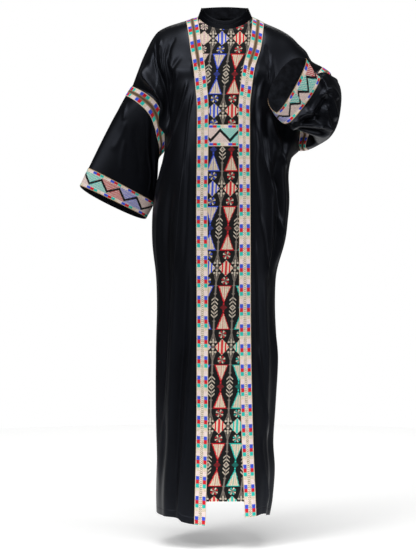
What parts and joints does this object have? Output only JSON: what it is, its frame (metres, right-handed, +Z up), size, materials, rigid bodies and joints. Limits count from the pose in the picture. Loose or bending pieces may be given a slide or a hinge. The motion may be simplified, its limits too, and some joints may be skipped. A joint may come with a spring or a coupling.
{
  "type": "bisht",
  "caption": "Worn floor-length velvet bisht with an open hollow body, wide dropped sleeves, stand collar, trimmed front edges and embroidered centre panel.",
  "frame": {"origin": "inside the neck of the bisht, midway between the two neck points of the shoulder seams in depth, 8 mm below them: where the wearer's shoulders hold it up", "axes": "+Z up, -Y towards the front of the bisht, +X towards the wearer's left, whose arm is raised"},
  "size_m": [0.7434, 0.3323, 1.4645],
  "materials": {
    "velvet": "black velvet with a soft nap sheen",
    "embroidery": "black cloth covered with cross stitch in cream, blue, red, pink and teal",
    "trim": "matt woven trim in cream and pale pink with coloured blocks along its edges",
    "band": "matt woven band with a black zigzag between coloured triangles"
  },
  "bodies": {
    "root": {"back_upper": "velvet", "back_lower": "velvet", "front_right_upper": "velvet", "front_right_lower": "velvet", "front_left_upper": "velvet", "front_left_lower": "velvet", "sleeve_right": "velvet", "sleeve_left_upper": "velvet", "sleeve_left_lower": "velvet", "collar": "velvet", "centre_panel": "embroidery", "waist_band": "band", "cuff_band_right": "band", "cuff_band_left": "band", "trim_right": "trim", "trim_left": "trim", "arm_band_right": "trim", "arm_band_left": "trim"}
  },
  "joints": []
}
